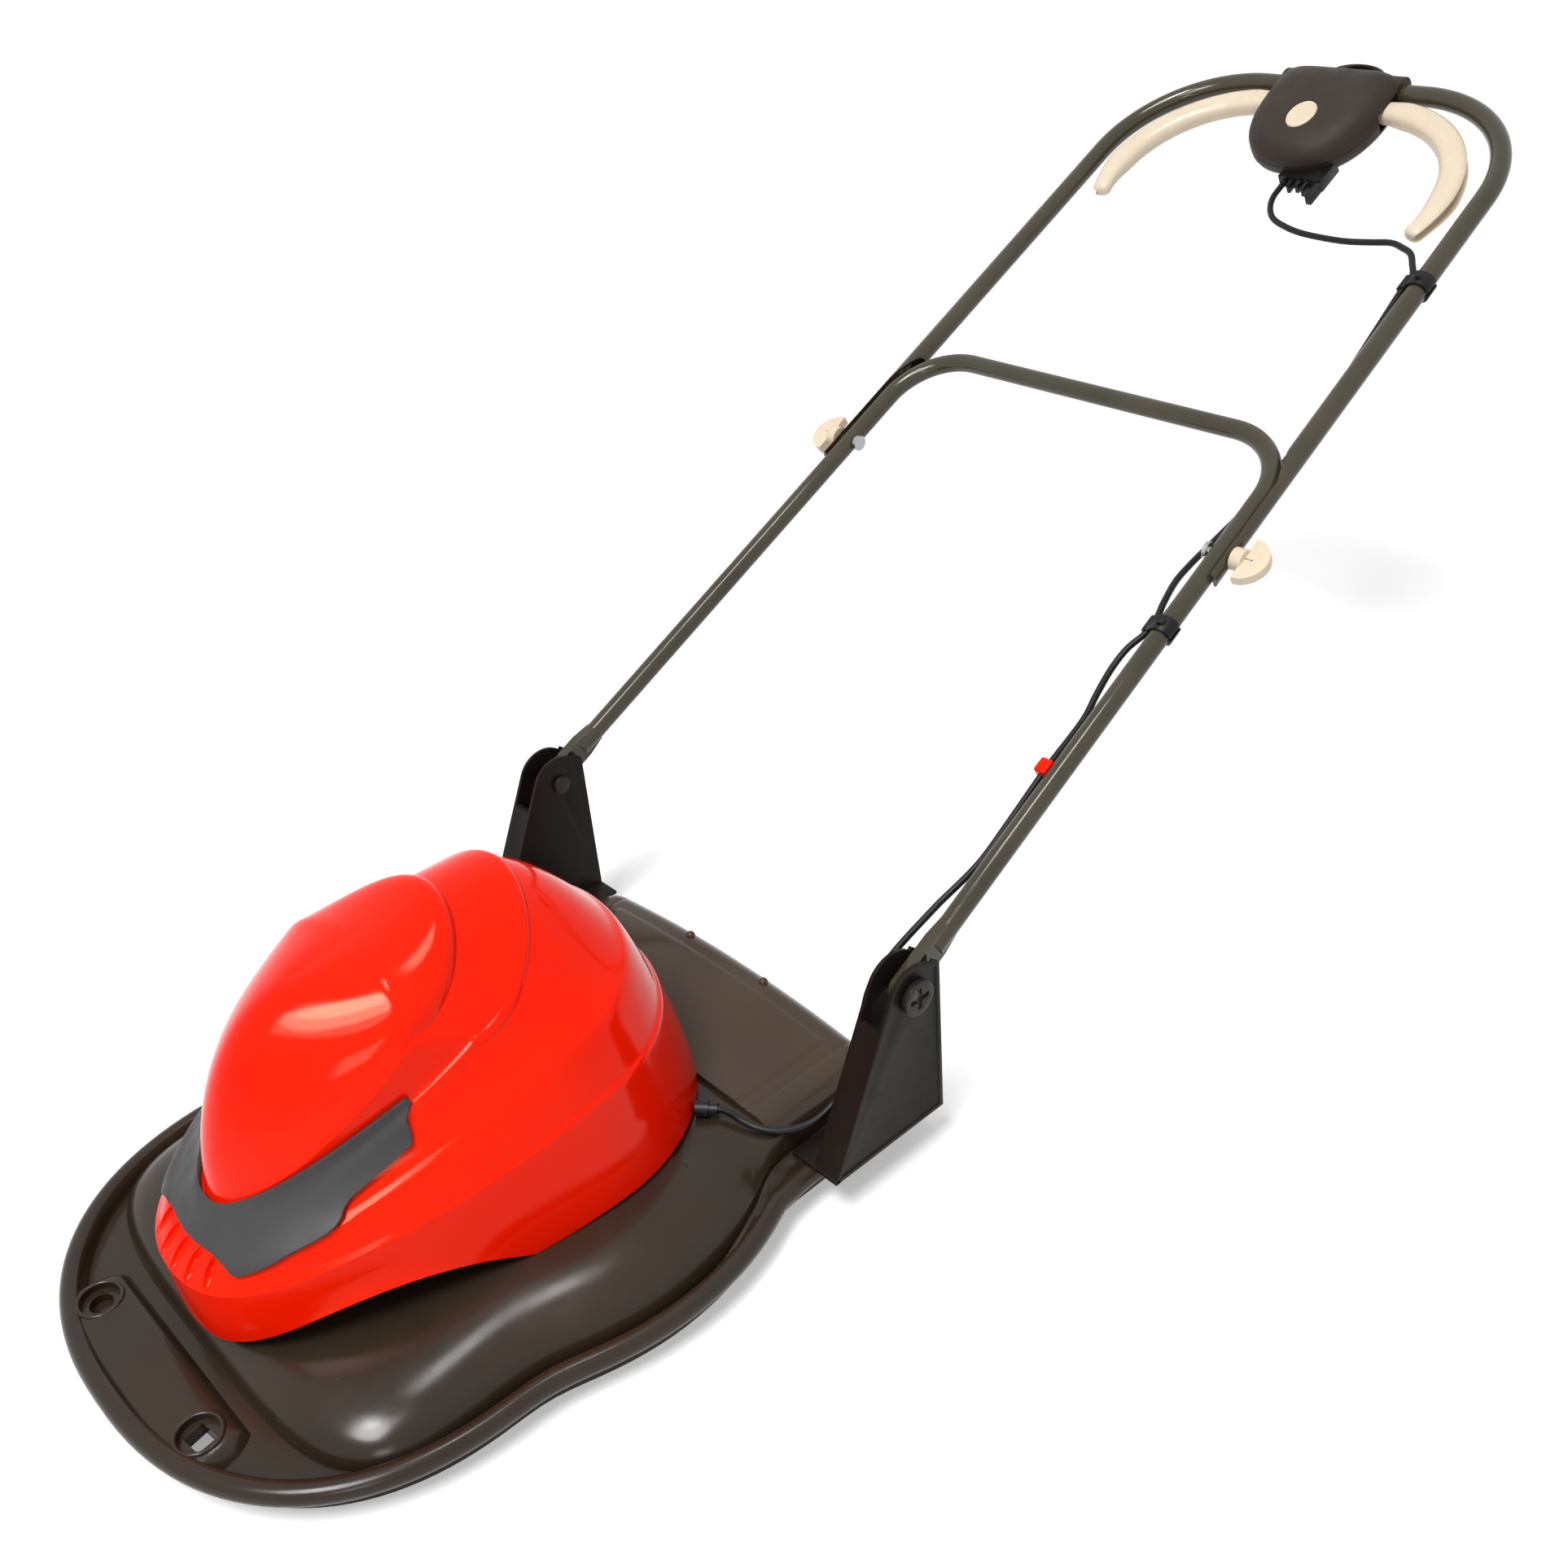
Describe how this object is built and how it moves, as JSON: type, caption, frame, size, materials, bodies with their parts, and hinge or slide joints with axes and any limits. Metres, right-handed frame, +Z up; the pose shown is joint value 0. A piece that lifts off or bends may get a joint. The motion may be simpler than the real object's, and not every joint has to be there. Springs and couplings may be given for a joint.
{
  "type": "hover mower",
  "caption": "Hover mower with a boat-shaped dark deck, a tiered orange-red motor hood and a folding tube handle with a switch box and two squeeze levers.",
  "frame": {"origin": "centre of the bounding box on the ground", "axes": "+X to the mower's right seen from the handle's front view, +Y from the nose to the handle, +Z up"},
  "size_m": [0.4926, 1.4176, 0.6241],
  "materials": {
    "deck": "satin moulded plastic",
    "deck_trim": "satin moulded plastic",
    "hood": "glossy moulded plastic",
    "visor": "matte moulded plastic",
    "alloy": "cast",
    "copper": "wound copper",
    "steel": "bright",
    "black": "matte",
    "cord": "matte",
    "tube": "gloss paint",
    "switch_box": "fine matte",
    "cream": "satin moulded plastic"
  },
  "bodies": {
    "deck": {"deck_shell": "deck", "rear_cover": "deck_trim", "bracket_left": "deck_trim", "bracket_right": "deck_trim", "pivot_bolt_left": "deck_trim", "pivot_bolt_right": "deck_trim", "motor_hood": "hood", "hood_visor": "visor", "motor_case": "alloy", "motor_cap": "alloy", "field_stack": "copper", "bearing_upper": "steel", "bearing_lower": "steel", "brush_left": "copper", "brush_right": "copper", "terminal_block": "cream", "lead_gland": "black", "lead_deck": "cord"},
    "rotor": {"motor_shaft": "steel", "armature": "copper", "commutator": "copper", "impeller": "black", "blade_spacer": "black", "blade": "steel", "blade_washer": "steel", "blade_bolt": "steel"},
    "lower_handle": {"lower_handle": "tube", "fold_bolt_left": "steel", "fold_bolt_right": "steel", "cable_clip_lower": "black", "cable_clip_small": "hood", "lead_lower": "cord"},
    "upper_handle": {"upper_handle": "tube", "switch_cover": "switch_box", "switch_base": "switch_box", "cable_hook": "black", "cable_restraint": "black", "microswitch": "black", "cable_clip_upper": "black", "lead_upper": "cord"},
    "wing_knob_left": {"wing_knob_left": "cream"},
    "wing_knob_right": {"wing_knob_right": "cream"},
    "lever_left": {"lever_left": "cream"},
    "lever_right": {"lever_right": "cream"},
    "lock_button": {"lock_button": "cream"}
  },
  "joints": [
    {"name": "blade_spin", "type": "hinge", "parent": "deck", "child": "rotor", "pos_m": [0, -0.38477, 0.013], "axis": [0, 0, 1], "continuous": true},
    {"name": "handle_float", "type": "hinge", "parent": "deck", "child": "lower_handle", "pos_m": [0, -0.15877, 0.156], "axis": [1, 0, 0], "range_deg": [0, 55]},
    {"name": "handle_fold", "type": "hinge", "parent": "lower_handle", "child": "upper_handle", "pos_m": [0, 0.21806, 0.35468], "axis": [1, 0, 0], "range_deg": [0, 125]},
    {"name": "wing_knob_left_turn", "type": "hinge", "parent": "lower_handle", "child": "wing_knob_left", "pos_m": [-0.222, 0.21806, 0.35468], "axis": [1, 0, 0], "continuous": true},
    {"name": "wing_knob_right_turn", "type": "hinge", "parent": "lower_handle", "child": "wing_knob_right", "pos_m": [0.222, 0.21806, 0.35468], "axis": [1, 0, 0], "continuous": true},
    {"name": "lever_left_squeeze", "type": "hinge", "parent": "upper_handle", "child": "lever_left", "pos_m": [-0.038, 0.66035, 0.58787], "axis": [0, 0.4664, -0.8846], "range_deg": [0, 5], "stiffness_Nm_per_rad": 1.2, "springref_deg": -14.32},
    {"name": "lever_right_squeeze", "type": "hinge", "parent": "upper_handle", "child": "lever_right", "pos_m": [0.038, 0.66035, 0.58787], "axis": [0, -0.4664, 0.8846], "range_deg": [0, 5], "stiffness_Nm_per_rad": 1.2, "springref_deg": -14.32},
    {"name": "lock_button_press", "type": "slide", "parent": "upper_handle", "child": "lock_button", "axis": [0, 0.4664, -0.8846], "range_m": [0, 0.004], "stiffness_N_per_m": 400, "springref_m": -0.003}
  ]
}
